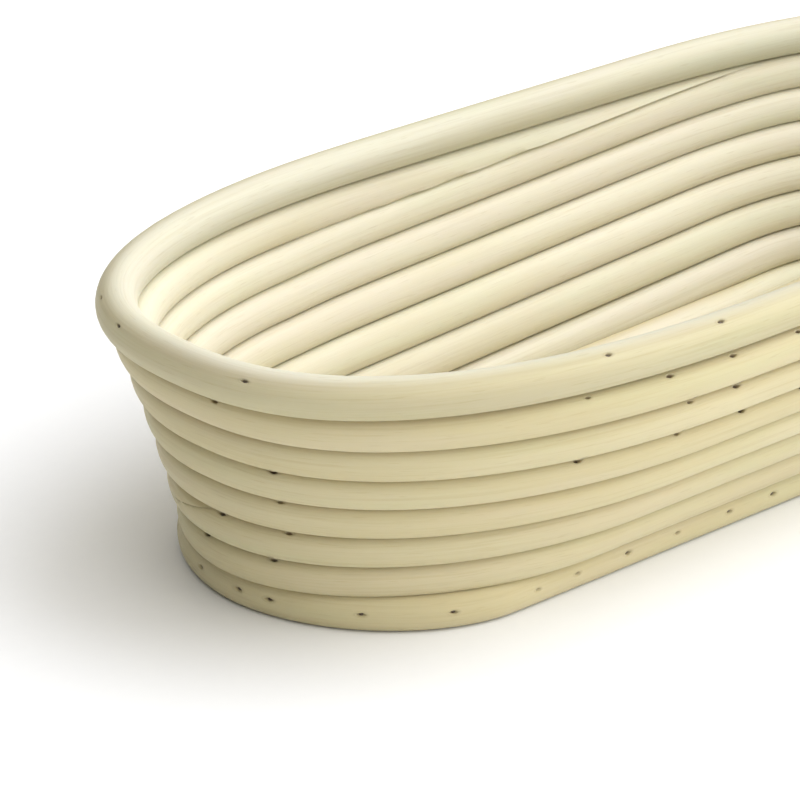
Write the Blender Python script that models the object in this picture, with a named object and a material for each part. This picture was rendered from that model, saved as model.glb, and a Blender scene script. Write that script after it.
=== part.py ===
"""Long oval proofing basket (banneton), coiled from round rattan cane and held with small wire nails.

Frame: metres, +Z up, origin on the table under the middle of the floor, +X along the basket and +Y towards
the back wall, where each course steps up to the next.

The canes follow one path. It starts as a flat spiral, the floor, and climbs the wall as a helix whose turns
are level except on the back wall. A turn is counted clockwise seen from above, from the middle of the back.
Levels number the turns: 0 is the bottom course of the wall, RIM_LEVEL the rim, and the floor is below 0.
"""

import functools
import math

import bmesh
import bpy
from mathutils import Vector

# Canes
PITCH = 0.0100
GAP = 0.0003
CANE_RADIUS = (PITCH - GAP) / 2
RIM_RADIUS = 0.0053
SECTION_SIDES = 8
CORNER_ANGLE = math.pi / SECTION_SIDES
FLAT_SHARE = math.cos(CORNER_ANGLE)
BLUNT_END = 0.0013
SHARP_ANGLE = math.radians(50)

# Basket
RIM_LEVEL = 7
FLOOR_TURNS = 4
RIM_HALF_WIDTH = 0.070
RIM_HALF_LENGTH = 0.1915
BOTTOM_END_LENGTH = 0.0486
RIM_END_LENGTH = 0.142
RIM_SQUARENESS = 2.43
ROUND_END = 1.88
END_GROWTH_POWER = 0.6

# Lean of the wall from upright in degrees: at the bottom, at the rim, and extra half way up
SIDE_LEAN = (21.8, 4.0, 11.2)
END_LEAN = (19.0, 30.7, -7.7)

# The stretch of the back wall where each course climbs to the next level
STEP_START_X = -0.095
STEP_END_X = 0.115
FLOOR_START_SHARE = 0.35

# How far from the middle of the back the first and last ends can be tapered, in turns
TAPER_REACH = 0.25

# Points along the path, for each quarter of a turn
STEP_SEGMENTS = 4
END_SEGMENTS = 9
QUARTER_SEGMENTS = STEP_SEGMENTS + END_SEGMENTS
TURN_SEGMENTS = 4 * QUARTER_SEGMENTS
STEP_SHARE = STEP_SEGMENTS / QUARTER_SEGMENTS
ARC_SAMPLES = 240
TANGENT_STEP = 0.002
STATION_MARGIN = 0.01

# Scarf joints, in turns along the path: where the lap starts, and how long it is
SCARF_SEGMENTS = 5
SCARF_TURNS = SCARF_SEGMENTS / TURN_SEGMENTS
LOWER_SCARF = 16 / TURN_SEGMENTS
MIDDLE_SCARF = 2.75
UPPER_SCARF = 4 + 18 / TURN_SEGMENTS
RIM_SCARF = RIM_LEVEL + 10 / TURN_SEGMENTS

# Nails
NAIL_RADIUS = 0.0006
NAIL_TIP = 0.0015
NAIL_SUNK = 0.0004
NAIL_PAST_CENTRE = 0.0015
NAIL_SIDES = 6
HOLE_CLEARANCE = 0.00035
HOLE_MOUTH = 0.0010
HOLE_PAST_TIP = 0.0006

# Nails of each course: how many, and the place in the turn of the first one
FLOOR_NAILS = (20, 0.024)
RIM_NAILS = (6, 0.049)
WALL_NAILS = {6: (4, 0.060), 5: (3, 0.220), 4: (4, 0.075), 3: (3, 0.046), 2: (4, 0.210), 1: (4, 0.220)}
FLOOR_NAIL_ANGLE = math.radians(10)
WALL_NAIL_ANGLE = math.radians(60)
RIM_NAIL_ANGLE = math.radians(65)

# Colours of bare rattan and of dull wire, as linear RGB
CANE_COLOUR = (0.80, 0.71, 0.50)
RIM_COLOUR = (0.83, 0.75, 0.55)
NAIL_COLOUR = (0.45, 0.44, 0.42)
CANE_ROUGHNESS = 0.55
NAIL_ROUGHNESS = 0.35

# Directions round a section, in steps of 45 degrees from straight out
OUTWARD = 0
UPWARD = 2
DOWNWARD = -2


def lean_angle(lean, course):
    """Lean of the wall between a course and the next one up, in radians."""
    at_bottom, at_rim, extra = lean
    share = course / (RIM_LEVEL - 1)
    return math.radians(at_bottom + (at_rim - at_bottom) * share + extra * 4 * share * (1 - share))


def course_sizes():
    """Half width, half length and height of each course's centre line, from the bottom course to the rim."""
    widths = [0.0]
    lengths = [0.0]
    heights = [CANE_RADIUS * math.cos(CORNER_ANGLE)]
    for course in range(RIM_LEVEL):
        up_the_wall = PITCH if course < RIM_LEVEL - 1 else CANE_RADIUS + RIM_RADIUS + GAP
        side_lean = lean_angle(SIDE_LEAN, course)
        end_lean = lean_angle(END_LEAN, course)
        rise = up_the_wall * math.cos(min(side_lean, end_lean))
        widths.append(widths[-1] + rise * math.tan(side_lean))
        lengths.append(lengths[-1] + rise * math.tan(end_lean))
        heights.append(heights[-1] + rise)
    half_widths = [width - widths[-1] + RIM_HALF_WIDTH for width in widths]
    half_lengths = [length - lengths[-1] + RIM_HALF_LENGTH for length in lengths]
    return half_widths, half_lengths, heights


HALF_WIDTHS, HALF_LENGTHS, HEIGHTS = course_sizes()
FLOOR_PITCH = (HALF_WIDTHS[0] - PITCH / 2) / FLOOR_TURNS


def between(values, level):
    """Value at a level that may lie between two courses."""
    below = min(int(level), len(values) - 2)
    return values[below] + (values[below + 1] - values[below]) * (level - below)


@functools.lru_cache(maxsize=None)
def outline(level):
    """Half width, half length, height, length of the rounded ends and their squareness at a level."""
    if level < 0:
        inset = -level * FLOOR_PITCH
        half_width = HALF_WIDTHS[0] - inset
        end_length = BOTTOM_END_LENGTH * half_width / HALF_WIDTHS[0]
        return half_width, HALF_LENGTHS[0] - inset, HEIGHTS[0], end_length, ROUND_END
    share = level / RIM_LEVEL
    end_length = BOTTOM_END_LENGTH + (RIM_END_LENGTH - BOTTOM_END_LENGTH) * share**END_GROWTH_POWER
    squareness = ROUND_END + (RIM_SQUARENESS - ROUND_END) * share
    sizes = (between(HALF_WIDTHS, level), between(HALF_LENGTHS, level), between(HEIGHTS, level))
    return *sizes, end_length, squareness


def half_width_at(level, x):
    """Distance of the outline from the long axis, x from the middle of the basket."""
    half_width, half_length, _, end_length, squareness = outline(level)
    into_end = min(max((x - half_length + end_length) / end_length, 0.0), 1.0)
    return half_width * (1 - into_end**squareness) ** (1 / squareness)


@functools.lru_cache(maxsize=None)
def end_curve(level):
    """Points of a quarter of the outline, from the end of the step to the tip, with the length to each."""
    half_width, half_length, _, end_length, squareness = outline(level)
    straight = half_length - end_length
    start_into_end = max((STEP_END_X - straight) / end_length, 0.0)
    start_angle = math.asin(start_into_end ** (squareness / 2))
    points = [(STEP_END_X, half_width_at(level, STEP_END_X), 0.0)]
    for sample in range(ARC_SAMPLES + 1):
        angle = start_angle + (math.pi / 2 - start_angle) * sample / ARC_SAMPLES
        x = straight + end_length * math.sin(angle) ** (2 / squareness)
        y = half_width * max(math.cos(angle), 0.0) ** (2 / squareness)
        before_x, before_y, length = points[-1]
        points.append((x, y, length + math.hypot(x - before_x, y - before_y)))
    return points


def end_point(level, share):
    """Point at a share of the length of end_curve."""
    points = end_curve(level)
    wanted = share * points[-1][2]
    for before, after in zip(points, points[1:]):
        if after[2] >= wanted and after[2] > before[2]:
            part = (wanted - before[2]) / (after[2] - before[2])
            return before[0] + (after[0] - before[0]) * part, before[1] + (after[1] - before[1]) * part
    return points[-1][0], points[-1][1]


def plan_sides(turn):
    """Signs of x and y, and how far towards the tip of the basket, 0 to 1, for a place in a turn."""
    quarters = (turn % 1.0) * 4
    quarter = min(int(quarters), 3)
    part = quarters - quarter
    x_sign = 1 if quarter in (0, 1) else -1
    y_sign = 1 if quarter in (0, 3) else -1
    return x_sign, y_sign, part if quarter in (0, 2) else 1 - part


def step_share(turn):
    """How far a course has climbed to the next level at a place on the back wall, 0 to 1."""
    x_sign, _, along = plan_sides(turn)
    x = x_sign * min(along / STEP_SHARE, 1.0) * STEP_END_X
    return min(max((x - STEP_START_X) / (STEP_END_X - STEP_START_X), 0.0), 1.0)


def floor_share(share):
    """How far a floor turn has moved out when the course above it has climbed by a share of a level.

    The two stay one pitch apart round the corner between floor and wall.
    """
    climbed = share * (HEIGHTS[1] - HEIGHTS[0])
    leaned = share * (HALF_WIDTHS[1] - HALF_WIDTHS[0])
    apart = math.sqrt(FLOOR_PITCH**2 - climbed**2) - leaned
    return min(1 - apart / FLOOR_PITCH, 1.0)


def helix_level(turn):
    """Level of the path, which climbs on the back wall only."""
    whole = math.floor(turn)
    part = turn - whole
    if STEP_SHARE / 4 <= part <= 1 - STEP_SHARE / 4:
        return float(whole)
    below = whole if part > 0.5 else whole - 1
    share = step_share(turn)
    return below + (floor_share(share) if below < 0 else share)


def rim_level(_):
    """The rim stays level all the way round."""
    return float(RIM_LEVEL)


def cane_level(turn):
    """Level of the floor and wall canes, whose first and last turns stay level where they taper out."""
    if turn < 0.5 - FLOOR_TURNS:
        return float(-FLOOR_TURNS)
    if turn > RIM_LEVEL - 0.5:
        return float(RIM_LEVEL - 1)
    return helix_level(turn)


def point_at(level, turn):
    """Point of the centre line at a level and a place in a turn."""
    x_sign, y_sign, along = plan_sides(turn)
    if along <= STEP_SHARE:
        x = along / STEP_SHARE * STEP_END_X
        y = half_width_at(level, x)
    else:
        x, y = end_point(level, (along - STEP_SHARE) / (1 - STEP_SHARE))
    return Vector((x_sign * x, y_sign * y, outline(level)[2]))


def wall_direction(level, turn):
    """Direction up the wall at a level: upright for the floor and the bottom course."""
    upright = Vector((0, 0, 1))
    if level <= 0:
        return upright
    higher = point_at(min(level + 0.5, RIM_LEVEL), turn)
    lower = point_at(max(level - 0.5, 0.0), turn)
    return upright.lerp((higher - lower).normalized(), min(level, 1.0)).normalized()


def frame_at(level_of, turn):
    """Centre, outward and upward directions of a cane's section."""
    centre = point_at(level_of(turn), turn)
    ahead = point_at(level_of(turn + TANGENT_STEP), turn + TANGENT_STEP)
    behind = point_at(level_of(turn - TANGENT_STEP), turn - TANGENT_STEP)
    tangent = (ahead - behind).normalized()
    up = wall_direction(level_of(turn), turn)
    up = (up - tangent * up.dot(tangent)).normalized()
    return centre, up.cross(tangent), up


def section(radius, limit, cut_side):
    """Corners of a cane's section as (out, up), with what lies past limit towards cut_side cut away."""
    highest = math.pi / 2 - CORNER_ANGLE
    edge = highest if limit >= radius * math.sin(highest) else math.asin(limit / radius)
    spacing = (math.pi + 2 * edge) / (SECTION_SIDES - 1)
    turned = (cut_side - UPWARD) * 2 * CORNER_ANGLE
    corners = []
    for index in range(SECTION_SIDES):
        angle = edge - index * spacing + turned
        corners.append((radius * math.cos(angle), radius * math.sin(angle)))
    first = (cut_side - UPWARD) % SECTION_SIDES
    return corners[first:] + corners[:first]


def stretch_towards(other_level, other_radius, level, turn, up, radius):
    """How much taller a section is on one side, so that its flat stands a gap from the neighbour there."""
    apart = point_at(other_level, turn) - point_at(level, turn)
    half_height = (abs(apart.dot(up)) - GAP + radius - other_radius) / 2
    return max(half_height / (radius * FLAT_SHARE), 1.0)


def stretch(level, turn, up, radius):
    """How much taller a section is above and below its centre than a regular one."""
    under_rim = min(max(level - (RIM_LEVEL - 2), 0.0), 1.0)
    radius_above = CANE_RADIUS + (RIM_RADIUS - CANE_RADIUS) * under_rim
    above = stretch_towards(min(level + 1, RIM_LEVEL), radius_above, level, turn, up, radius)
    below = stretch_towards(max(level - 1, -FLOOR_TURNS), CANE_RADIUS, level, turn, up, radius)
    return above, below


def lap_under(start, radius):
    """Cut of a cane that ends in a scarf: its upper side falls away over the lap."""

    def cut(turn):
        return radius - 2 * radius * (turn - start) / SCARF_TURNS, UPWARD

    return cut


def lap_over(start, radius):
    """Cut of the cane that lies on lap_under, a gap above it."""

    def cut(turn):
        return 2 * radius * (turn - start) / SCARF_TURNS - radius - GAP, DOWNWARD

    return cut


def first_end_cut(turn):
    """The first floor turn starts as a wedge inside the turn that moves out past it."""
    if turn > TAPER_REACH - FLOOR_TURNS:
        return math.inf, OUTWARD
    return floor_share(step_share(turn)) * FLOOR_PITCH - CANE_RADIUS - GAP, OUTWARD


def last_end_cut(turn):
    """The last course ends as a wedge between the rim and the course that climbs under it."""
    if turn < RIM_LEVEL - TAPER_REACH:
        return math.inf, DOWNWARD
    return ((1 - step_share(turn)) * PITCH - CANE_RADIUS - GAP) * FLAT_SHARE, DOWNWARD


def step_turn(share):
    """Place in a turn, from the middle of the back, where the step has climbed by a share."""
    x = STEP_START_X + share * (STEP_END_X - STEP_START_X)
    return x / STEP_END_X * STEP_SHARE / 4


def stations(start, end):
    """Places along the path between start and end where a section stands."""
    first = math.ceil(start * TURN_SEGMENTS + STATION_MARGIN)
    last = math.floor(end * TURN_SEGMENTS - STATION_MARGIN)
    return [start] + [index / TURN_SEGMENTS for index in range(first, last + 1)] + [end]


def resting(point):
    """The point, lifted to the table if it is under it: the underside of the basket is sanded flat."""
    return Vector((point.x, point.y, max(point.z, 0.0)))


def new_material(name, colour, roughness, metallic):
    material = bpy.data.materials.new(name)
    material.use_nodes = True
    shader = material.node_tree.nodes["Principled BSDF"]
    shader.inputs["Base Color"].default_value = (*colour, 1.0)
    shader.inputs["Roughness"].default_value = roughness
    shader.inputs["Metallic"].default_value = metallic
    return material


def add_object(name, mesh, collection, material):
    obj = bpy.data.objects.new(name, mesh)
    collection.objects.link(obj)
    obj.data.materials.append(material)
    return obj


def make_cane(name, start, end, radius, level_of, start_cut, end_cut, collection, material):
    """A cane along the path from start to end. It is lofted, because its cut ends change its section."""
    sheet = bmesh.new()
    rings = []
    for turn in stations(start, end):
        limit, cut_side = min(start_cut(turn), end_cut(turn))
        centre, out, up = frame_at(level_of, turn)
        above, below = stretch(level_of(turn), turn, up, radius)
        flat = radius * FLAT_SHARE
        ring = []
        for right, high in section(radius, limit, cut_side):
            high = min(max(high, -flat), flat) * (above if high > 0 else below)
            ring.append(sheet.verts.new(resting(centre + out * right + up * high)))
        rings.append(ring)
    for ring, following in zip(rings, rings[1:]):
        for side in range(SECTION_SIDES):
            other = (side + 1) % SECTION_SIDES
            sheet.faces.new((ring[side], ring[other], following[other], following[side]))
    sheet.faces.new(rings[0])
    sheet.faces.new(rings[-1])
    bmesh.ops.recalc_face_normals(sheet, faces=sheet.faces)
    mesh = bpy.data.meshes.new(name)
    sheet.to_mesh(mesh)
    sheet.free()
    mesh.shade_smooth()
    mesh.set_sharp_from_angle(angle=SHARP_ANGLE)
    return add_object(name, mesh, collection, material)


def pointed_pin(radius, length, tip):
    """Mesh of a round pin from the origin down -Z, with a conical tip."""
    mesh = bpy.data.meshes.new("pin")
    shape = bmesh.new()
    shank = length - tip
    made = bmesh.ops.create_cone(
        shape, cap_ends=True, segments=NAIL_SIDES, radius1=radius, radius2=radius, depth=shank
    )
    bmesh.ops.translate(shape, verts=made["verts"], vec=(0, 0, -shank / 2))
    if tip > 0:
        bottom = [face for face in shape.faces if face.normal.z < -0.9]
        point = bmesh.ops.poke(shape, faces=bottom)["verts"]
        bmesh.ops.translate(shape, verts=point, vec=(0, 0, -tip))
    shape.to_mesh(mesh)
    shape.free()
    return mesh


def place_pin(obj, head, direction):
    """Put a pin's origin at head, pointing along direction."""
    obj.location = head
    obj.rotation_mode = "QUATERNION"
    obj.rotation_quaternion = (-direction).to_track_quat("Z", "Y")


def nail_line(turn, angle):
    """Surface point, direction and length of a nail driven at a place on the path into the turn before."""
    level_of, radius = (rim_level, RIM_RADIUS) if turn > RIM_LEVEL else (cane_level, CANE_RADIUS)
    centre, out, up = frame_at(level_of, turn)
    above, _ = stretch(level_of(turn), turn, up, radius)
    surface = centre + (out * math.cos(angle) + up * math.sin(angle) * above) * radius
    target = point_at(cane_level(turn - 1), turn - 1)
    direction = (target - surface).normalized()
    return surface, direction, (target - surface).length + NAIL_PAST_CENTRE


def owner_of(turn):
    """Name of the cane that runs through a place on the path."""
    if turn > RIM_LEVEL:
        return "rim_cane"
    if turn < LOWER_SCARF:
        return "floor_cane"
    if turn < MIDDLE_SCARF:
        return "lower_wall_cane"
    if turn < UPPER_SCARF:
        return "middle_wall_cane"
    return "upper_wall_cane"


def nail_row(prefix, level, count, first, angle):
    """Evenly spaced nails of one course: name, place on the path and angle round the cane."""
    return [(f"{prefix}_{index + 1}", level + first + index / count, angle) for index in range(count)]


def all_nails():
    nails = nail_row("floor_nail", 0, *FLOOR_NAILS, FLOOR_NAIL_ANGLE)
    for level, (count, first) in WALL_NAILS.items():
        nails += nail_row(f"wall_nail_{level}", level, count, first, WALL_NAIL_ANGLE)
    return nails + nail_row("rim_nail", RIM_LEVEL, *RIM_NAILS, RIM_NAIL_ANGLE)


def bore(cane, cutter_collection):
    """Cut the nail holes gathered in a collection out of a cane."""
    cut = cane.modifiers.new("nail holes", "BOOLEAN")
    cut.operation = "DIFFERENCE"
    cut.operand_type = "COLLECTION"
    cut.collection = cutter_collection
    cut.solver = "EXACT"


def main():
    for obj in list(bpy.data.objects):
        bpy.data.objects.remove(obj)
    basket = bpy.data.collections.new("banneton_basket")
    cutters = bpy.data.collections.new("cutters")
    for collection in (basket, cutters):
        bpy.context.scene.collection.children.link(collection)

    thin_top = 1 - (BLUNT_END + GAP) / PITCH
    path_start = -FLOOR_TURNS + step_turn(FLOOR_START_SHARE)
    path_end = RIM_LEVEL + step_turn(thin_top)
    lap_end = SCARF_TURNS - 1 / TURN_SEGMENTS
    lap_start = 1 / TURN_SEGMENTS
    pieces = (
        ("floor_cane", path_start, LOWER_SCARF + lap_end, first_end_cut, lap_under(LOWER_SCARF, CANE_RADIUS)),
        ("lower_wall_cane", LOWER_SCARF + lap_start, MIDDLE_SCARF + lap_end,
         lap_over(LOWER_SCARF, CANE_RADIUS), lap_under(MIDDLE_SCARF, CANE_RADIUS)),
        ("middle_wall_cane", MIDDLE_SCARF + lap_start, UPPER_SCARF + lap_end,
         lap_over(MIDDLE_SCARF, CANE_RADIUS), lap_under(UPPER_SCARF, CANE_RADIUS)),
        ("upper_wall_cane", UPPER_SCARF + lap_start, path_end,
         lap_over(UPPER_SCARF, CANE_RADIUS), last_end_cut),
    )
    canes = {}
    for name, start, end, start_cut, end_cut in pieces:
        shade = new_material(name, CANE_COLOUR, CANE_ROUGHNESS, metallic=0.0)
        canes[name] = make_cane(
            name, start, end, CANE_RADIUS, cane_level, start_cut, end_cut, basket, shade
        )
    shade = new_material("rim_cane", RIM_COLOUR, CANE_ROUGHNESS, metallic=0.0)
    canes["rim_cane"] = make_cane(
        "rim_cane", RIM_SCARF + lap_start, RIM_SCARF + 1 + lap_end, RIM_RADIUS, rim_level,
        lap_over(RIM_SCARF, RIM_RADIUS), lap_under(RIM_SCARF + 1, RIM_RADIUS), basket, shade,
    )

    holes = {}
    for name in canes:
        holes[name] = bpy.data.collections.new(f"holes_{name}")
        cutters.children.link(holes[name])
    steel = new_material("nail_steel", NAIL_COLOUR, NAIL_ROUGHNESS, metallic=1.0)
    for name, turn, angle in all_nails():
        surface, direction, length = nail_line(turn, angle)
        pin = pointed_pin(NAIL_RADIUS, length - NAIL_SUNK, NAIL_TIP)
        nail = add_object(name, pin, basket, steel)
        place_pin(nail, surface + direction * NAIL_SUNK, direction)
        hole = pointed_pin(NAIL_RADIUS + HOLE_CLEARANCE, length + HOLE_MOUTH + HOLE_PAST_TIP, 0.0)
        cutter = bpy.data.objects.new(f"hole_{name}", hole)
        place_pin(cutter, surface - direction * HOLE_MOUTH, direction)
        cutter.hide_render = True
        cutter.display_type = "WIRE"
        for cane_name in {owner_of(turn), owner_of(turn - 1)}:
            holes[cane_name].objects.link(cutter)
    for name, cane in canes.items():
        bore(cane, holes[name])


main()
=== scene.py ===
"""Looks of the long oval proofing basket (banneton): rattan cane, wire nails, white floor and soft light.

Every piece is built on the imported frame, in metres, +Z up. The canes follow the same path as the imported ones:
levels number the turns from the bottom course (0) to the rim (RIM_LEVEL), the floor is below 0, and a turn is
counted clockwise seen from above, from the middle of the back wall.
"""

import functools
import math
import random

import bmesh
import bpy
from mathutils import Matrix, Vector, noise
from mathutils.kdtree import KDTree


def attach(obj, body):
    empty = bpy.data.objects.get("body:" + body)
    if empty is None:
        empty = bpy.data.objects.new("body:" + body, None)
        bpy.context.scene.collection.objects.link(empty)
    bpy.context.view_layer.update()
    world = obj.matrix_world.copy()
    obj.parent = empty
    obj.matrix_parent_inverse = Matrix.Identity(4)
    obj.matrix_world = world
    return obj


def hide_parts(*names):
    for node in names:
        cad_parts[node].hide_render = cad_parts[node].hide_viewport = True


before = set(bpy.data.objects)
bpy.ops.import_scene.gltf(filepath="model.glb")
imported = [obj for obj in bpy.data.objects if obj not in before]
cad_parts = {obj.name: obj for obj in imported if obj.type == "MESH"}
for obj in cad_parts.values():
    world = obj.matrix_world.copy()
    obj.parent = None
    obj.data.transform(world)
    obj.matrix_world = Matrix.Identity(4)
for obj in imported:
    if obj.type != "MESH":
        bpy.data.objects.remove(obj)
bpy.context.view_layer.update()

# Canes
PITCH = 0.0100
GAP = 0.0003
CANE_RADIUS = (PITCH - GAP) / 2
RIM_RADIUS = 0.0053
CORNER_ANGLE = math.pi / 8  # half the angle of a side of the packed, eight-sided canes

# Basket
RIM_LEVEL = 7
FLOOR_TURNS = 4
RIM_HALF_WIDTH = 0.070
RIM_HALF_LENGTH = 0.1915
BOTTOM_END_LENGTH = 0.0486
RIM_END_LENGTH = 0.142
RIM_SQUARENESS = 2.43
ROUND_END = 1.88
END_GROWTH_POWER = 0.6
SIDE_LEAN = (21.8, 4.0, 11.2)
END_LEAN = (19.0, 30.7, -7.7)
STEP_START_X = -0.095
STEP_END_X = 0.115
FLOOR_START_SHARE = 0.2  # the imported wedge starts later, where it is thicker
TAPER_REACH = 0.25
TURN_SEGMENTS = 52
STEP_SHARE = 4 / 13
ARC_SAMPLES = 400
TANGENT_STEP = 0.002

# Scarf joints
SCARF_TURNS = 5 / TURN_SEGMENTS
LOWER_SCARF = 16 / TURN_SEGMENTS
MIDDLE_SCARF = 2.75
UPPER_SCARF = 4 + 18 / TURN_SEGMENTS
RIM_SCARF = RIM_LEVEL + 10 / TURN_SEGMENTS

# Surface of the canes
SIDES = 32
SPACING = 0.0022
PROBE_STEP = 0.0004
SHORTEST_STEP = 0.3
TOUCH = 0.00005
WIDEST_SPREAD = 0.0011
RIM_RESTS_FROM = RIM_LEVEL + 0.06
BROAD_UNEVENNESS = 0.012
BROAD_ROUND = 0.9
BROAD_LENGTH = 0.055
FLUTE_DEPTH = 0.006
FLUTES_ROUND = 4.5
FLUTE_LENGTH = 0.05
CANE_SQUARENESS = 2.35
RIM_ROUNDNESS = 2.0
WANDER = 0.00012
WANDER_LENGTH = 0.09
UPWARD_WANDER = 0.4
OTHER_NOISE = Vector((0, 9, 0))
THIN_END = 0.0003
LAST_END_SHARE = 0.94
STEP_ROUNDING = 0.016
SHARP_ANGLE = math.radians(55)


# ---- Path of the canes -------------------------------------------------------------------------------------


def lean_angle(lean, course):
    at_bottom, at_rim, extra = lean
    share = course / (RIM_LEVEL - 1)
    return math.radians(at_bottom + (at_rim - at_bottom) * share + extra * 4 * share * (1 - share))


def course_sizes():
    """Half width, half length and height of each course's centre line."""
    widths = [0.0]
    lengths = [0.0]
    heights = [CANE_RADIUS * math.cos(CORNER_ANGLE)]
    for course in range(RIM_LEVEL):
        up_the_wall = PITCH if course < RIM_LEVEL - 1 else CANE_RADIUS + RIM_RADIUS + GAP
        side_lean = lean_angle(SIDE_LEAN, course)
        end_lean = lean_angle(END_LEAN, course)
        rise = up_the_wall * math.cos(min(side_lean, end_lean))
        widths.append(widths[-1] + rise * math.tan(side_lean))
        lengths.append(lengths[-1] + rise * math.tan(end_lean))
        heights.append(heights[-1] + rise)
    half_widths = [width - widths[-1] + RIM_HALF_WIDTH for width in widths]
    half_lengths = [length - lengths[-1] + RIM_HALF_LENGTH for length in lengths]
    return half_widths, half_lengths, heights


HALF_WIDTHS, HALF_LENGTHS, HEIGHTS = course_sizes()
FLOOR_PITCH = (HALF_WIDTHS[0] - PITCH / 2) / FLOOR_TURNS


def lerp(first, second, share):
    return first + (second - first) * share


def between(values, level):
    below = min(int(level), len(values) - 2)
    return lerp(values[below], values[below + 1], level - below)


@functools.lru_cache(maxsize=None)
def outline(level):
    """Half width, half length, height, length of the rounded ends and their squareness at a level."""
    if level < 0:
        inset = -level * FLOOR_PITCH
        half_width = HALF_WIDTHS[0] - inset
        end_length = BOTTOM_END_LENGTH * half_width / HALF_WIDTHS[0]
        return half_width, HALF_LENGTHS[0] - inset, HEIGHTS[0], end_length, ROUND_END
    share = level / RIM_LEVEL
    end_length = BOTTOM_END_LENGTH + (RIM_END_LENGTH - BOTTOM_END_LENGTH) * share**END_GROWTH_POWER
    squareness = ROUND_END + (RIM_SQUARENESS - ROUND_END) * share
    sizes = (between(HALF_WIDTHS, level), between(HALF_LENGTHS, level), between(HEIGHTS, level))
    return *sizes, end_length, squareness


def half_width_at(level, x):
    half_width, half_length, _, end_length, squareness = outline(level)
    into_end = min(max((x - half_length + end_length) / end_length, 0.0), 1.0)
    return half_width * (1 - into_end**squareness) ** (1 / squareness)


@functools.lru_cache(maxsize=None)
def end_curve(level):
    """Points of a quarter of the outline, from the end of the step to the tip, with the length to each."""
    half_width, half_length, _, end_length, squareness = outline(level)
    straight = half_length - end_length
    start_into_end = max((STEP_END_X - straight) / end_length, 0.0)
    start_angle = math.asin(start_into_end ** (squareness / 2))
    points = [(STEP_END_X, half_width_at(level, STEP_END_X), 0.0)]
    for sample in range(ARC_SAMPLES + 1):
        angle = start_angle + (math.pi / 2 - start_angle) * sample / ARC_SAMPLES
        x = straight + end_length * math.sin(angle) ** (2 / squareness)
        y = half_width * max(math.cos(angle), 0.0) ** (2 / squareness)
        before_x, before_y, length = points[-1]
        points.append((x, y, length + math.hypot(x - before_x, y - before_y)))
    return points


def end_point(level, share):
    """Point at a share of the length of end_curve."""
    points = end_curve(level)
    wanted = share * points[-1][2]
    low, high = 0, len(points) - 1
    while high - low > 1:
        middle = (low + high) // 2
        if points[middle][2] < wanted:
            low = middle
        else:
            high = middle
    before, after = points[low], points[high]
    if after[2] <= before[2]:
        return after[0], after[1]
    part = (wanted - before[2]) / (after[2] - before[2])
    return lerp(before[0], after[0], part), lerp(before[1], after[1], part)


def plan_sides(turn):
    """Signs of x and y, and how far towards the tip of the basket, for a place in a turn."""
    quarters = (turn % 1.0) * 4
    quarter = min(int(quarters), 3)
    part = quarters - quarter
    x_sign = 1 if quarter in (0, 1) else -1
    y_sign = 1 if quarter in (0, 3) else -1
    return x_sign, y_sign, part if quarter in (0, 2) else 1 - part


def place_x(turn):
    """Place along the basket on the straight stretch of a turn, before any end."""
    x_sign, _, along = plan_sides(turn)
    return x_sign * min(along / STEP_SHARE, 1.0) * STEP_END_X


def ramp(distance):
    """Like max(distance, 0), with its corner rounded off."""
    reach = min(max(distance / STEP_ROUNDING + 0.5, 0.0), 1.0)
    return STEP_ROUNDING * reach * reach / 2 if reach < 1 else distance


def step_share(turn):
    """How far a course has climbed to the next level at a place on the back wall, 0 to 1."""
    x = place_x(turn)
    length = STEP_END_X - STEP_START_X
    inner_start = STEP_START_X + STEP_ROUNDING / 2
    inner_end = STEP_END_X - STEP_ROUNDING / 2
    climbed = (ramp(x - inner_start) - ramp(x - inner_end)) / (inner_end - inner_start)
    straight = min(max((x - STEP_START_X) / length, 0.0), 1.0)
    return min(max(0.5 * climbed + 0.5 * straight, 0.0), 1.0)


def floor_share(share):
    """How far a floor turn has moved out when the course above it has climbed by a share of a level."""
    climbed = share * (HEIGHTS[1] - HEIGHTS[0])
    leaned = share * (HALF_WIDTHS[1] - HALF_WIDTHS[0])
    apart = math.sqrt(FLOOR_PITCH**2 - climbed**2) - leaned
    return min(1 - apart / FLOOR_PITCH, 1.0)


def helix_level(turn):
    """Level of the path, which climbs on the back wall only."""
    whole = math.floor(turn)
    part = turn - whole
    if STEP_SHARE / 4 <= part <= 1 - STEP_SHARE / 4:
        return float(whole)
    below = whole if part > 0.5 else whole - 1
    share = step_share(turn)
    return below + (floor_share(share) if below < 0 else share)


def rim_level(_):
    return float(RIM_LEVEL)


def cane_level(turn):
    """Level of the floor and wall canes, whose first and last turns stay level where they taper out."""
    if turn < 0.5 - FLOOR_TURNS:
        return float(-FLOOR_TURNS)
    if turn > RIM_LEVEL - 0.5:
        return float(RIM_LEVEL - 1)
    return helix_level(turn)


def point_at(level, turn):
    x_sign, y_sign, along = plan_sides(turn)
    if along <= STEP_SHARE:
        x = along / STEP_SHARE * STEP_END_X
        y = half_width_at(level, x)
    else:
        x, y = end_point(level, (along - STEP_SHARE) / (1 - STEP_SHARE))
    return Vector((x_sign * x, y_sign * y, outline(level)[2]))


def wall_direction(level, turn):
    """Direction up the wall at a level: upright for the floor and the bottom course."""
    upright = Vector((0, 0, 1))
    if level <= 0:
        return upright
    higher = point_at(min(level + 0.5, RIM_LEVEL), turn)
    lower = point_at(max(level - 0.5, 0.0), turn)
    return upright.lerp((higher - lower).normalized(), min(level, 1.0)).normalized()


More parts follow.
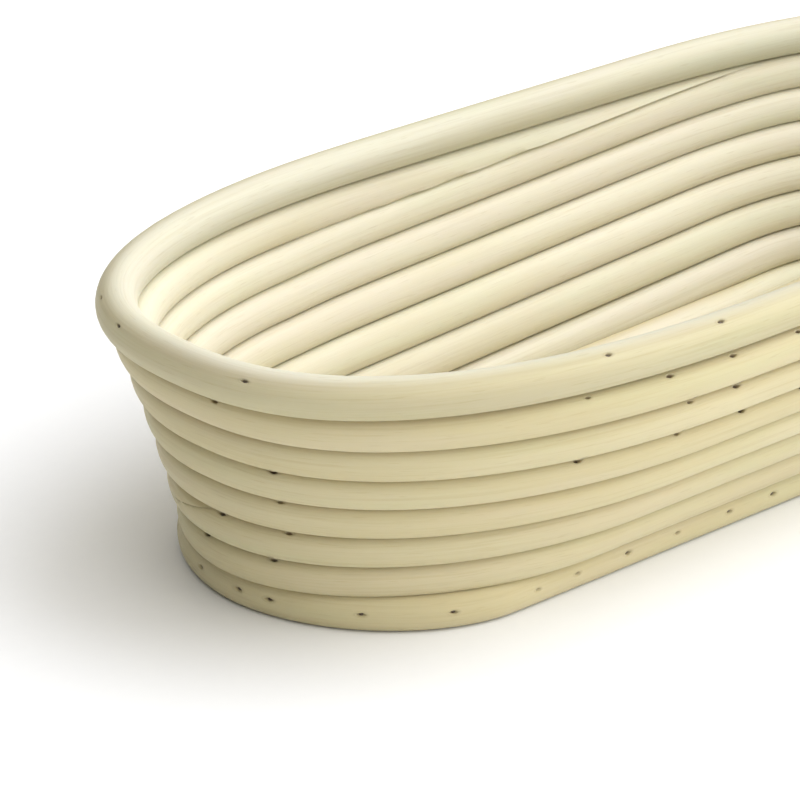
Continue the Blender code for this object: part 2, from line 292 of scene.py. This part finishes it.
def frame_at(level_of, turn):
    """Centre, outward, upward and forward directions of a cane's section."""
    centre = point_at(level_of(turn), turn)
    ahead = point_at(level_of(turn + TANGENT_STEP), turn + TANGENT_STEP)
    behind = point_at(level_of(turn - TANGENT_STEP), turn - TANGENT_STEP)
    tangent = (ahead - behind).normalized()
    up = wall_direction(level_of(turn), turn)
    up = (up - tangent * up.dot(tangent)).normalized()
    return centre, up.cross(tangent), up, tangent


def step_turn(share):
    """Place in a turn, from the middle of the back, where the step has climbed by a share."""
    x = STEP_START_X + share * (STEP_END_X - STEP_START_X)
    return x / STEP_END_X * STEP_SHARE / 4


# ---- Cuts of the cane ends ---------------------------------------------------------------------------------

OUTWARD = 0.0
UPWARD = math.pi / 2
DOWNWARD = -math.pi / 2


def lap_under(start):
    """The upper side falls away over the lap."""

    def cut(turn, sizes):
        _, _, up, down = sizes
        return lerp(up, -down, (turn - start) / SCARF_TURNS), UPWARD

    return cut


def lap_over(start):
    """The lower side is missing at first, above lap_under."""

    def cut(turn, sizes):
        _, _, up, down = sizes
        return lerp(-up, down, (turn - start) / SCARF_TURNS) - TOUCH, DOWNWARD

    return cut


def first_end_cut(turn, _):
    """The first floor turn starts as a wedge inside the turn that moves out past it."""
    if turn > TAPER_REACH - FLOOR_TURNS:
        return math.inf, OUTWARD
    return floor_share(step_share(turn)) * FLOOR_PITCH - FLOOR_PITCH / 2, OUTWARD


def last_end_cut(turn, _):
    """The last course ends as a wedge between the rim and the course that climbs under it."""
    if turn < RIM_LEVEL - TAPER_REACH:
        return math.inf, DOWNWARD
    return (1 - step_share(turn)) * PITCH - CANE_RADIUS - GAP / 2, DOWNWARD


# ---- Nails -------------------------------------------------------------------------------------------------

NAIL_RADIUS = 0.0006
NAIL_SUNK = 0.0004
NAIL_PAST_CENTRE = 0.0015
NAIL_TIP = 0.0015
FLOOR_NAIL_ANGLE = math.radians(10)
WALL_NAIL_ANGLE = math.radians(60)
RIM_NAIL_ANGLE = math.radians(65)

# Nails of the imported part: prefix, level, how many, first place in the turn, angle
CAD_ROWS = (
    ("floor_nail", 0, 20, 0.024, FLOOR_NAIL_ANGLE),
    ("wall_nail_6", 6, 4, 0.060, WALL_NAIL_ANGLE),
    ("wall_nail_5", 5, 3, 0.220, WALL_NAIL_ANGLE),
    ("wall_nail_4", 4, 4, 0.075, WALL_NAIL_ANGLE),
    ("wall_nail_3", 3, 3, 0.046, WALL_NAIL_ANGLE),
    ("wall_nail_2", 2, 4, 0.210, WALL_NAIL_ANGLE),
    ("wall_nail_1", 1, 4, 0.220, WALL_NAIL_ANGLE),
    ("rim_nail", RIM_LEVEL, 6, 0.049, RIM_NAIL_ANGLE),
)

# Further nails. Rows on the long walls: level, first place in the turn, spacing, how many
FURTHER_ROWS = (
    (0, 0.434, 0.0130, 12),
    (0, 0.934, 0.0130, 12),
    (4, 0.4885, 0.0163, 5),
    (5, 0.470, 0.0180, 5),
    (6, 0.460, 0.0170, 6),
    (RIM_LEVEL, 0.4245, 0.0250, 7),
)
# Nails round an end, met again half a turn on at the other end: level and place in the turn
FURTHER_END_NAILS = (
    (0, 0.743), (1, 0.763), (2, 0.747), (4, 0.714), (6, 0.578), (6, 0.733),
    (RIM_LEVEL, 0.780), (RIM_LEVEL, 0.805),
)
NAIL_CLEARANCE = 0.008


def nail_frame(turn, angle):
    """Surface point, outward normal, fibre direction, drive direction and length of a nail."""
    level_of, radius = (rim_level, RIM_RADIUS) if turn > RIM_LEVEL else (cane_level, CANE_RADIUS)
    centre, out, up, tangent = frame_at(level_of, turn)
    normal = out * math.cos(angle) + up * math.sin(angle)
    squareness = RIM_ROUNDNESS if turn > RIM_LEVEL else CANE_SQUARENESS
    bulge = (math.cos(angle) ** squareness + math.sin(angle) ** squareness) ** (-1 / squareness)
    surface = centre + normal * radius * bulge
    target = point_at(cane_level(turn - 1), turn - 1)
    return surface, normal, tangent, (target - surface).normalized(), (target - surface).length


def owner_of(turn):
    """Name of the cane that runs through a place on the path."""
    if turn > RIM_LEVEL:
        return "rim_cane"
    if turn < LOWER_SCARF:
        return "floor_cane"
    if turn < MIDDLE_SCARF:
        return "lower_wall_cane"
    if turn < UPPER_SCARF:
        return "middle_wall_cane"
    return "upper_wall_cane"


def all_nails():
    """Name, place on the path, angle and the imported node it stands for, or None for a further nail."""
    nails = []
    for prefix, level, count, first, angle in CAD_ROWS:
        for index in range(count):
            name = f"{prefix}_{index + 1}"
            nails.append((name, level + first + index / count, angle, name))
    return nails


def nail_angle(level):
    if level == 0:
        return FLOOR_NAIL_ANGLE
    return RIM_NAIL_ANGLE if level == RIM_LEVEL else WALL_NAIL_ANGLE


def further_nails(nails):
    """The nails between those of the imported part, left out where one would stand next to another."""
    places = []
    for level, first, spacing, count in FURTHER_ROWS:
        places += [(level, first + index * spacing) for index in range(count)]
    for level, place in FURTHER_END_NAILS:
        places += [(level, place), (level, place - 0.5)]
    taken = [turn for _, turn, _, _ in nails]
    further = []
    for level, place in places:
        turn = level + place
        if min(abs(turn - other) for other in taken) > NAIL_CLEARANCE:
            taken.append(turn)
            further.append((f"further_{len(further) + 1}", turn, nail_angle(level), None))
    return further


# ---- Meshes ------------------------------------------------------------------------------------------------


def stations(start, end, level_of):
    """Places along the path about SPACING apart, with the length from the start to each."""
    turns = [start]
    lengths = [0.0]
    while turns[-1] < end:
        turn = turns[-1]
        here = point_at(level_of(turn), turn)
        ahead = turn + PROBE_STEP
        speed = (point_at(level_of(ahead), ahead) - here).length / PROBE_STEP
        following = min(turn + SPACING / speed, end)
        if end - following < SHORTEST_STEP * SPACING / speed:
            following = end
        turns.append(following)
        lengths.append(lengths[-1] + (following - turn) * speed)
    return turns, lengths


def reach_to(here, other, thicker=0.0):
    """Half thickness that makes a cane touch a neighbour, which may be thicker."""
    half = ((other - here).length - thicker) / 2
    return min(max(half, PITCH / 2), PITCH / 2 + WIDEST_SPREAD) + TOUCH


def cane_sizes(turn, level_of):
    """Half thickness of a cane outward, inward, up and down, so that the turns touch each other."""
    level = level_of(turn)
    here = point_at(level, turn)
    if level_of is rim_level:
        spare = (here - point_at(level - 1, turn)).length - RIM_RADIUS - PITCH / 2
        return RIM_RADIUS, RIM_RADIUS, RIM_RADIUS, RIM_RADIUS + max(spare, 0.0) / 2 + TOUCH
    round_size = PITCH / 2 + TOUCH
    if turn + 1 > RIM_RESTS_FROM:
        above = reach_to(here, point_at(RIM_LEVEL, turn), RIM_RADIUS - PITCH / 2)
    else:
        above = reach_to(here, point_at(cane_level(turn + 1), turn + 1))
    below = reach_to(here, point_at(cane_level(turn - 1), turn - 1))
    on_wall = min(max(level, 0.0), 1.0)
    below_floor_edge = min(max(level + 1, 0.0), 1.0)
    out = lerp(above, round_size, below_floor_edge)
    inward = lerp(below, round_size, on_wall)
    up = lerp(round_size, above, below_floor_edge)
    down = lerp(round_size, below, on_wall)
    return out, inward, up, down


def size_towards(sizes, angle):
    """Half thickness across and up on the side of a section that an angle points to."""
    out, inward, up, down = sizes
    return (out if math.cos(angle) > 0 else inward), (up if math.sin(angle) > 0 else down)


def pressed(part, squareness):
    """Turns a cosine or sine of a circle into one of a section pressed a little square."""
    return math.copysign(abs(part) ** (2 / squareness), part)


def cut_reach(sizes, limit, cut_angle, squareness):
    """Half of the angle that a flat cut takes out of a section."""
    if limit == math.inf:
        return 0.0
    facing = cut_angle if limit > 0 else cut_angle + math.pi
    across, high = size_towards(sizes, facing)
    size = across if abs(math.cos(cut_angle)) > 0.5 else high
    share = min(max(limit / size, -1.0), 1.0)
    return math.acos(math.copysign(abs(share) ** (squareness / 2), share))


def ring_points(frame_here, sizes, cut, squareness, length, seed):
    """Points round a cane, and their places across, up and along it."""
    centre, out, up, _ = frame_here
    limit, cut_angle = cut
    reach = cut_reach(sizes, limit, cut_angle, squareness)
    flat_share = min(reach, math.pi / 2) / math.pi
    cut_out, cut_up = math.cos(cut_angle), math.sin(cut_angle)
    sway = Vector((length / WANDER_LENGTH, seed, 0.0))
    upward = up * WANDER * UPWARD_WANDER * noise.noise(sway + OTHER_NOISE)
    centre = centre + out * WANDER * noise.noise(sway) + upward
    points = []
    places = []
    for side in range(SIDES):
        turned = (2 * math.pi * side / SIDES - cut_angle + math.pi) % (2 * math.pi) - math.pi
        share = abs(turned) / math.pi
        on_flat = share < flat_share
        past_edge = 0.0 if on_flat else (share - flat_share) / (1 - flat_share)
        angle = cut_angle + math.copysign(lerp(reach, math.pi, past_edge), turned)
        right, high = math.cos(angle), math.sin(angle)
        broad = noise.noise(Vector((right * BROAD_ROUND, high * BROAD_ROUND, length / BROAD_LENGTH + seed)))
        past_flutes = length / FLUTE_LENGTH - seed
        flutes = noise.noise(Vector((right * FLUTES_ROUND, high * FLUTES_ROUND, past_flutes)))
        swell = 1 + BROAD_UNEVENNESS * broad + FLUTE_DEPTH * flutes
        across_size, up_size = size_towards(sizes, angle)
        x = pressed(right, squareness) * across_size * swell
        y = pressed(high, squareness) * up_size * swell
        if on_flat:
            depth = x * cut_out + y * cut_up
            sideways = (y * cut_out - x * cut_up) * share / flat_share
            x = depth * cut_out - sideways * cut_up
            y = depth * cut_up + sideways * cut_out
        point = centre + out * x + up * y
        point.z = max(point.z, 0.0)
        points.append(point)
        places.append((x, y, length + seed))
    return points, places


def make_cane(name, start, end, level_of, cuts, seed):
    """A cane along the path from start to end, with a grain attribute that follows its fibres."""
    turns, lengths = stations(start, end, level_of)
    squareness = RIM_ROUNDNESS if level_of is rim_level else CANE_SQUARENESS
    vertices = []
    grain = []
    for turn, length in zip(turns, lengths):
        sizes = cane_sizes(turn, level_of)
        cut = min((cut_of(turn, sizes) for cut_of in cuts), key=lambda made: made[0])
        points, places = ring_points(frame_at(level_of, turn), sizes, cut, squareness, length, seed)
        vertices += points
        grain += places
    faces = []
    for ring in range(len(turns) - 1):
        base = ring * SIDES
        for side in range(SIDES):
            other = (side + 1) % SIDES
            faces.append((base + side, base + SIDES + side, base + SIDES + other, base + other))
    last = (len(turns) - 1) * SIDES
    faces.append(tuple(range(SIDES)))
    faces.append(tuple(reversed(range(last, last + SIDES))))
    mesh = bpy.data.meshes.new(name)
    mesh.from_pydata(vertices, [], faces)
    attribute = mesh.attributes.new("grain", "FLOAT_VECTOR", "POINT")
    attribute.data.foreach_set("vector", [value for place in grain for value in place])
    mesh.attributes.new("mark", "FLOAT", "POINT")
    mesh.attributes.new("torn", "FLOAT", "POINT")
    mesh.shade_smooth()
    obj = bpy.data.objects.new(name, mesh)
    bpy.context.scene.collection.objects.link(obj)
    return obj


MARK_HALF_LENGTH = 0.0013
MARK_HALF_WIDTH = 0.00062
MARK_DEPTH = 0.0007
MARK_REACH = 0.0034
MARK_CUTS = 5
MARK_EDGE = 0.55
LIP_HEIGHT = 0.00003
LIP_PLACE = 1.15
LIP_WIDTH = 0.05
LIP_ALONG = 0.9
RAGGEDNESS = 0.12
RAGGED_CELLS = 2500
RAGGED_SHIFT = 99
# Darkness of the splits, least and most
BOTTOM_MARKS = (0.25, 0.65)
WALL_MARKS = (0.55, 0.95)
MARK_SIZES = (0.8, 1.15)


def dent_marks(obj, marks):
    """Press the lens-shaped splits of the nails into a cane, on faces made finer round each one."""
    shape = bmesh.new()
    shape.from_mesh(obj.data)
    tree = KDTree(len(shape.faces))
    shape.faces.ensure_lookup_table()
    for index, face in enumerate(shape.faces):
        tree.insert(face.calc_center_median(), index)
    tree.balance()
    chosen = set()
    for surface, *_ in marks:
        for _, index, _ in tree.find_range(surface, MARK_REACH):
            face = shape.faces[index]
            if len(face.verts) == 4:
                chosen.update(face.edges)
    bmesh.ops.subdivide_edges(shape, edges=list(chosen), cuts=MARK_CUTS, use_grid_fill=True)
    shape.verts.ensure_lookup_table()
    points = KDTree(len(shape.verts))
    for index, vertex in enumerate(shape.verts):
        points.insert(vertex.co, index)
    points.balance()
    mark_layer = shape.verts.layers.float["mark"]
    torn_layer = shape.verts.layers.float["torn"]
    for surface, normal, tangent, size, strength in marks:
        across = normal.cross(tangent)
        for _, index, _ in points.find_range(surface, MARK_REACH):
            vertex = shape.verts[index]
            away = vertex.co - surface
            with_grain, past_grain = away.dot(tangent), away.dot(across)
            along = with_grain / (MARK_HALF_LENGTH * size)
            width = max(1 - along * along, 0.0)
            side = past_grain / (MARK_HALF_WIDTH * size)
            reach = math.hypot(along * LIP_ALONG, side)
            cell = Vector((with_grain * RAGGED_CELLS, past_grain * RAGGED_CELLS, surface.x * RAGGED_SHIFT))
            ragged = RAGGEDNESS * noise.noise(cell)
            inside = min(max((width - abs(side) + ragged) / MARK_EDGE, 0.0), 1.0)
            inside = inside * inside * (3 - 2 * inside)
            lip = math.exp(-((reach - LIP_PLACE) ** 2) / LIP_WIDTH) * (1 - inside)
            vertex.co -= normal * MARK_DEPTH * size * inside
            vertex.co += normal * LIP_HEIGHT * lip
            vertex[mark_layer] = max(vertex[mark_layer], inside * strength)
            vertex[torn_layer] = max(vertex[torn_layer], lip)
    shape.to_mesh(obj.data)
    shape.free()
    obj.data.shade_smooth()
    obj.data.set_sharp_from_angle(angle=SHARP_ANGLE)


NAIL_SIDES = 12
HEAD_DROP = 0.00012


def make_nail(name, head, direction, length, turned):
    """A wire nail with a slightly domed head and a drawn-out point."""
    # Radius as a share of the wire's, and height
    profile = [
        (0.0, 0.00010),
        (0.55, 0.00006),
        (0.88, 0.0),
        (1.0, -0.00010),
        (1.0, -0.5 * (length - NAIL_TIP)),
        (1.0, -(length - NAIL_TIP)),
        (0.45, -length + 0.35 * NAIL_TIP),
        (0.0, -length),
    ]
    shape = bmesh.new()
    rings = []
    for radius, height in profile:
        if radius == 0.0:
            rings.append([shape.verts.new((0, 0, height))])
            continue
        ring = []
        for step in range(NAIL_SIDES):
            angle = 2 * math.pi * step / NAIL_SIDES + turned
            x, y = math.cos(angle) * radius * NAIL_RADIUS, math.sin(angle) * radius * NAIL_RADIUS
            ring.append(shape.verts.new((x, y, height)))
        rings.append(ring)
    for upper, lower in zip(rings, rings[1:]):
        for step in range(NAIL_SIDES):
            other = (step + 1) % NAIL_SIDES
            if len(upper) == 1:
                shape.faces.new((upper[0], lower[step], lower[other]))
            elif len(lower) == 1:
                shape.faces.new((upper[step], lower[0], upper[other]))
            else:
                shape.faces.new((upper[step], lower[step], lower[other], upper[other]))
    bmesh.ops.recalc_face_normals(shape, faces=shape.faces)
    mesh = bpy.data.meshes.new(name)
    shape.to_mesh(mesh)
    shape.free()
    mesh.shade_smooth()
    obj = bpy.data.objects.new(name, mesh)
    bpy.context.scene.collection.objects.link(obj)
    rotation = (-direction).to_track_quat("Z", "Y").to_matrix().to_4x4()
    mesh.transform(Matrix.Translation(head) @ rotation)
    return obj


# ---- Materials ---------------------------------------------------------------------------------------------


class Shader:
    """A material being put together from nodes."""

    def __init__(self, name):
        self.material = bpy.data.materials.new(name)
        self.material.use_nodes = True
        self.tree = self.material.node_tree
        self.surface = self.tree.nodes["Principled BSDF"]

    def link(self, value, socket):
        if isinstance(value, bpy.types.NodeSocket):
            self.tree.links.new(value, socket)
        else:
            socket.default_value = value

    def add(self, kind, inputs=(), **settings):
        node = self.tree.nodes.new(kind)
        for key, value in settings.items():
            setattr(node, key, value)
        for key, value in dict(inputs).items():
            self.link(value, node.inputs[key])
        return node

    def maths(self, operation, first, second=0.0):
        node = self.add("ShaderNodeMath", {0: first, 1: second}, operation=operation)
        return node.outputs[0]

    def spread(self, value, low, high, to_low=0.0, to_high=1.0):
        inputs = {"Value": value, "From Min": low, "From Max": high, "To Min": to_low, "To Max": to_high}
        node = self.add("ShaderNodeMapRange", inputs, interpolation_type="SMOOTHSTEP")
        return node.outputs["Result"]

    def mix(self, factor, first, second, blend="MIX"):
        node = self.add("ShaderNodeMix", data_type="RGBA", blend_type=blend)
        self.link(factor, node.inputs[0])
        self.link(first, node.inputs[6])
        self.link(second, node.inputs[7])
        return node.outputs[2]

    def fibre_noise(self, vector, around, along, detail=2.0, roughness=0.5, shift=0.0):
        """Noise drawn out along the fibres: around and along are cells per metre."""
        mapping = self.add("ShaderNodeMapping", {"Vector": vector}, vector_type="POINT")
        mapping.inputs["Scale"].default_value = (around, around, along)
        mapping.inputs["Location"].default_value = (shift, shift, shift)
        inputs = {"Vector": mapping.outputs[0], "Scale": 1.0, "Detail": detail, "Roughness": roughness}
        return self.add("ShaderNodeTexNoise", inputs).outputs["Fac"]


PALE = (0.70, 0.665, 0.53, 1.0)
DEEP = (0.665, 0.62, 0.465, 1.0)
ROSY = (0.69, 0.64, 0.52, 1.0)
GREENISH = (0.67, 0.655, 0.495, 1.0)
STREAK = (0.585, 0.53, 0.385, 1.0)
# Painted shade: multiplies the outward side of each cane darker and yellower, as if the outside of the wall lay
# in shade
OUTER_PAINTED_SHADE = (0.91, 0.86, 0.68, 1.0)
RIM_TONE = (0.87, 0.89, 0.90, 1.0)
# Dust and painted shade where the canes meet
SEAM_DUST_AND_SHADE = (0.42, 0.32, 0.17, 1.0)
SPLIT = (0.12, 0.068, 0.032, 1.0)
CANE_BRIGHTNESS = (0.97, 1.02)
BRIGHT_WIRE = (0.17, 0.15, 0.13, 1.0)
RUST = (0.10, 0.055, 0.03, 1.0)
FLOOR_DARK = (0.88, 0.895, 0.93, 1.0)
FLOOR_LIGHT = (0.895, 0.91, 0.945, 1.0)


def rattan(name, tone):
    """Bleached rattan core: fine lengthwise fibres, slow tints and pores, with dust and painted shade darkening
    each cane where it meets the next, and painted shade on the outward side of each cane.
    """
    made = Shader(name)
    grain = made.add("ShaderNodeAttribute", attribute_name="grain").outputs["Vector"]
    mark = made.add("ShaderNodeAttribute", attribute_name="mark").outputs["Fac"]
    torn = made.add("ShaderNodeAttribute", attribute_name="torn").outputs["Fac"]
    place = made.add("ShaderNodeSeparateXYZ", {0: grain})
    across, up = place.outputs["X"], place.outputs["Y"]

    slow = made.fibre_noise(grain, 60, 9, detail=2)
    tint = made.fibre_noise(grain, 110, 14, detail=1, shift=31.0)
    strands = made.fibre_noise(grain, 900, 16, detail=3, roughness=0.6)
    fine = made.fibre_noise(grain, 3200, 45, detail=2, roughness=0.65, shift=7.0)
    pores = made.fibre_noise(grain, 2600, 160, detail=0, shift=3.0)

    colour = made.mix(made.spread(slow, 0.36, 0.66), PALE, DEEP)
    colour = made.mix(made.spread(tint, 0.52, 0.70, 0.0, 0.75), colour, ROSY)
    colour = made.mix(made.spread(tint, 0.46, 0.30, 0.0, 0.70), colour, GREENISH)
    colour = made.mix(made.spread(strands, 0.50, 0.74, 0.0, 0.42), colour, STREAK)
    colour = made.mix(made.spread(fine, 0.52, 0.75, 0.0, 0.30), colour, STREAK)
    colour = made.mix(made.spread(pores, 0.70, 0.80, 0.0, 0.45), colour, STREAK)
    # Painted shade: the outward side of each cane is darkened and made yellower
    outer = made.spread(across, -0.5 * CANE_RADIUS, 0.8 * CANE_RADIUS)
    colour = made.mix(outer, colour, made.mix(1.0, colour, OUTER_PAINTED_SHADE, "MULTIPLY"))
    # Dust and painted shade: darker towards the top and bottom of each cane where it meets the next one, on its
    # outward side only
    depth = made.maths("ABSOLUTE", up)
    seam_dust_and_shade = made.spread(depth, CANE_RADIUS * 0.88, CANE_RADIUS * 1.03, 0.0, 0.26)
    colour = made.mix(made.maths("MULTIPLY", seam_dust_and_shade, outer), colour, SEAM_DUST_AND_SHADE)
    colour = made.mix(torn, colour, made.mix(0.15, colour, SPLIT))
    colour = made.mix(mark, colour, SPLIT)
    made.link(made.mix(1.0, colour, tone, "MULTIPLY"), made.surface.inputs["Base Color"])

    rough = made.spread(strands, 0.3, 0.7, 0.50, 0.68)
    made.link(rough, made.surface.inputs["Roughness"])
    made.link(0.35, made.surface.inputs["Specular IOR Level"])
    made.link(0.22, made.surface.inputs["Subsurface Weight"])
    made.link(0.0022, made.surface.inputs["Subsurface Scale"])
    made.surface.inputs["Subsurface Radius"].default_value = (1.0, 0.72, 0.42)
    made.link(0.06, made.surface.inputs["Sheen Weight"])
    made.link(0.45, made.surface.inputs["Sheen Roughness"])

    height = made.maths("MULTIPLY", strands, 0.65)
    height = made.maths("ADD", height, made.maths("MULTIPLY", fine, 0.35))
    bump = made.add("ShaderNodeBump", {"Height": height, "Strength": 0.55, "Distance": 0.00016})
    made.link(bump.outputs[0], made.surface.inputs["Normal"])
    return made.material


def wire_steel():
    """Dull drawn wire with a little rust."""
    made = Shader("nail_wire")
    place = made.add("ShaderNodeTexCoord").outputs["Object"]
    spots = made.fibre_noise(place, 2600, 2600, detail=3)
    rust = made.spread(spots, 0.46, 0.62)
    made.link(made.mix(rust, BRIGHT_WIRE, RUST), made.surface.inputs["Base Color"])
    made.link(made.spread(rust, 0.0, 1.0, 1.0, 0.25), made.surface.inputs["Metallic"])
    made.link(made.spread(spots, 0.3, 0.7, 0.50, 0.75), made.surface.inputs["Roughness"])
    return made.material


def floor_paper():
    """Plain white studio floor, a little blue to balance the warm light."""
    made = Shader("studio_floor")
    place = made.add("ShaderNodeTexCoord").outputs["Object"]
    tooth = made.fibre_noise(place, 300, 300, detail=2)
    made.link(made.mix(tooth, FLOOR_DARK, FLOOR_LIGHT), made.surface.inputs["Base Color"])
    made.link(0.85, made.surface.inputs["Roughness"])
    made.link(0.1, made.surface.inputs["Specular IOR Level"])
    return made.material


# ---- Basket ------------------------------------------------------------------------------------------------


LOOK_SEED = 7
FIRST_CANE_SEED = 3.7
CANE_SEED_STEP = 11.3


def dress(obj, material, nodes):
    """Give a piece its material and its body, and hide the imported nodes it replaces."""
    obj.data.materials.append(material)
    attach(obj, "root")
    if nodes:
        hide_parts(*nodes)


def build_basket():
    """Every cane and nail, with the splits that the nails make in the canes."""
    random.seed(LOOK_SEED)
    path_start = -FLOOR_TURNS + step_turn(FLOOR_START_SHARE)
    path_end = RIM_LEVEL + step_turn(LAST_END_SHARE)
    thin = THIN_END / (2 * CANE_RADIUS) * SCARF_TURNS
    lap = SCARF_TURNS - thin
    pieces = (
        ("floor_cane", path_start, LOWER_SCARF + lap, (first_end_cut, lap_under(LOWER_SCARF))),
        ("lower_wall_cane", LOWER_SCARF + thin, MIDDLE_SCARF + lap,
         (lap_over(LOWER_SCARF), lap_under(MIDDLE_SCARF))),
        ("middle_wall_cane", MIDDLE_SCARF + thin, UPPER_SCARF + lap,
         (lap_over(MIDDLE_SCARF), lap_under(UPPER_SCARF))),
        ("upper_wall_cane", UPPER_SCARF + thin, path_end, (lap_over(UPPER_SCARF), last_end_cut)),
        ("rim_cane", RIM_SCARF + thin, RIM_SCARF + 1 + lap,
         (lap_over(RIM_SCARF), lap_under(RIM_SCARF + 1))),
    )
    nails = all_nails()
    nails += further_nails(nails)
    marks = {}
    steel = wire_steel()
    for name, turn, angle, node in nails:
        surface, normal, tangent, direction, length = nail_frame(turn, angle)
        size = random.uniform(*MARK_SIZES)
        strength = random.uniform(*(BOTTOM_MARKS if turn < 1 else WALL_MARKS))
        marks.setdefault(owner_of(turn), []).append((surface, normal, tangent, size, strength))
        head = surface + direction * (NAIL_SUNK + HEAD_DROP)
        nail_length = length + NAIL_PAST_CENTRE - NAIL_SUNK
        nail = make_nail(f"wire_{name}", head, direction, nail_length, random.random())
        dress(nail, steel, (node,) if node else ())
    for index, (name, start, end, cuts) in enumerate(pieces):
        rim = name == "rim_cane"
        level_of = rim_level if rim else cane_level
        seed = FIRST_CANE_SEED + CANE_SEED_STEP * index
        cane = make_cane(f"{name}_rattan", start, end, level_of, cuts, seed)
        dent_marks(cane, marks.get(name, []))
        brightness = random.uniform(*CANE_BRIGHTNESS)
        material = rattan(f"rattan_{name}", RIM_TONE if rim else (brightness, brightness, brightness, 1.0))
        dress(cane, material, (name,))


# ---- Floor, light and camera -------------------------------------------------------------------------------


FLOOR_HALF_SIDE = 12.0
FLOOR_DROP = 0.0002
SKY = (1.0, 0.975, 0.92, 1.0)
BRIGHT_SIDE = (0.46, -0.40, 0.79)
DARK_SIDE_REACH = 0.0
DARKEST_LIGHT = 0.06
BRIGHTEST_LIGHT = 2.1
BACKDROP = (1.0, 0.995, 0.98, 1.0)
KEY_PLACE = Vector((0.86, -0.46, 1.66))
KEY_AIM = Vector((-0.05, 0, 0))
KEY_SIZE = 2.2
KEY_POWER = 17.0
KEY_COLOUR = (0.95, 0.98, 1.07)


def build_floor():
    mesh = bpy.data.meshes.new("floor")
    side = FLOOR_HALF_SIDE
    corners = [(-side, -side, 0), (side, -side, 0), (side, side, 0), (-side, side, 0)]
    mesh.from_pydata(corners, [], [(0, 1, 2, 3)])
    floor = bpy.data.objects.new("floor", mesh)
    floor.location.z = -FLOOR_DROP
    bpy.context.scene.collection.objects.link(floor)
    floor.data.materials.append(floor_paper())


def build_world():
    """Warm soft light, brightest from one side. The camera sees a plain pale backdrop instead of it."""
    world = bpy.data.worlds.new("studio")
    world.use_nodes = True
    tree = world.node_tree
    background = tree.nodes["Background"]
    background.inputs["Color"].default_value = SKY
    direction = tree.nodes.new("ShaderNodeTexCoord")
    towards = tree.nodes.new("ShaderNodeVectorMath")
    towards.operation = "DOT_PRODUCT"
    towards.inputs[1].default_value = Vector(BRIGHT_SIDE).normalized()
    brightness = tree.nodes.new("ShaderNodeMapRange")
    brightness.inputs["From Min"].default_value = DARK_SIDE_REACH
    brightness.inputs["From Max"].default_value = 1.0
    brightness.inputs["To Min"].default_value = DARKEST_LIGHT
    brightness.inputs["To Max"].default_value = BRIGHTEST_LIGHT
    seen = tree.nodes.new("ShaderNodeBackground")
    seen.inputs["Color"].default_value = BACKDROP
    rays = tree.nodes.new("ShaderNodeLightPath")
    chosen = tree.nodes.new("ShaderNodeMixShader")
    for output, socket in (
        (direction.outputs["Generated"], towards.inputs[0]),
        (towards.outputs["Value"], brightness.inputs["Value"]),
        (brightness.outputs["Result"], background.inputs["Strength"]),
        (rays.outputs["Is Camera Ray"], chosen.inputs[0]),
        (background.outputs["Background"], chosen.inputs[1]),
        (seen.outputs["Background"], chosen.inputs[2]),
        (chosen.outputs["Shader"], tree.nodes["World Output"].inputs["Surface"]),
    ):
        tree.links.new(output, socket)
    bpy.context.scene.world = world


def build_key_light():
    """One large soft lamp, above the front right of the basket."""
    data = bpy.data.lights.new("key", "AREA")
    data.shape = "DISK"
    data.size = KEY_SIZE
    data.energy = KEY_POWER
    data.color = KEY_COLOUR
    lamp = bpy.data.objects.new("key", data)
    lamp.location = KEY_PLACE
    lamp.rotation_euler = (KEY_AIM - KEY_PLACE).to_track_quat("-Z", "Y").to_euler()
    bpy.context.scene.collection.objects.link(lamp)


CAMERA_PLACE = (-0.95393, -0.77469, 0.54326)
CAMERA_YAW = 42.596
CAMERA_PITCH = 23.730
CAMERA_ROLL = 3.943
CAMERA_LENS = 218.6
SENSOR_WIDTH = 36.0
VIEW_END = 50.0


def build_camera():
    """Long lens from the front left, with a slight roll."""
    yaw, pitch, roll = (math.radians(angle) for angle in (CAMERA_YAW, CAMERA_PITCH, CAMERA_ROLL))
    forward = Vector((math.cos(pitch) * math.cos(yaw), math.cos(pitch) * math.sin(yaw), -math.sin(pitch)))
    level_right = Vector((math.sin(yaw), -math.cos(yaw), 0.0))
    level_up = level_right.cross(forward)
    right = level_right * math.cos(roll) + level_up * math.sin(roll)
    up = level_up * math.cos(roll) - level_right * math.sin(roll)
    data = bpy.data.cameras.new("camera")
    data.lens = CAMERA_LENS
    data.sensor_width = SENSOR_WIDTH
    data.clip_end = VIEW_END
    camera = bpy.data.objects.new("camera", data)
    camera.matrix_world = Matrix((
        (right.x, up.x, -forward.x, CAMERA_PLACE[0]),
        (right.y, up.y, -forward.y, CAMERA_PLACE[1]),
        (right.z, up.z, -forward.z, CAMERA_PLACE[2]),
        (0, 0, 0, 1),
    ))
    bpy.context.scene.collection.objects.link(camera)
    bpy.context.scene.camera = camera


build_basket()
build_floor()
build_world()
build_key_light()
build_camera()
bpy.context.scene.view_settings.view_transform = "Standard"
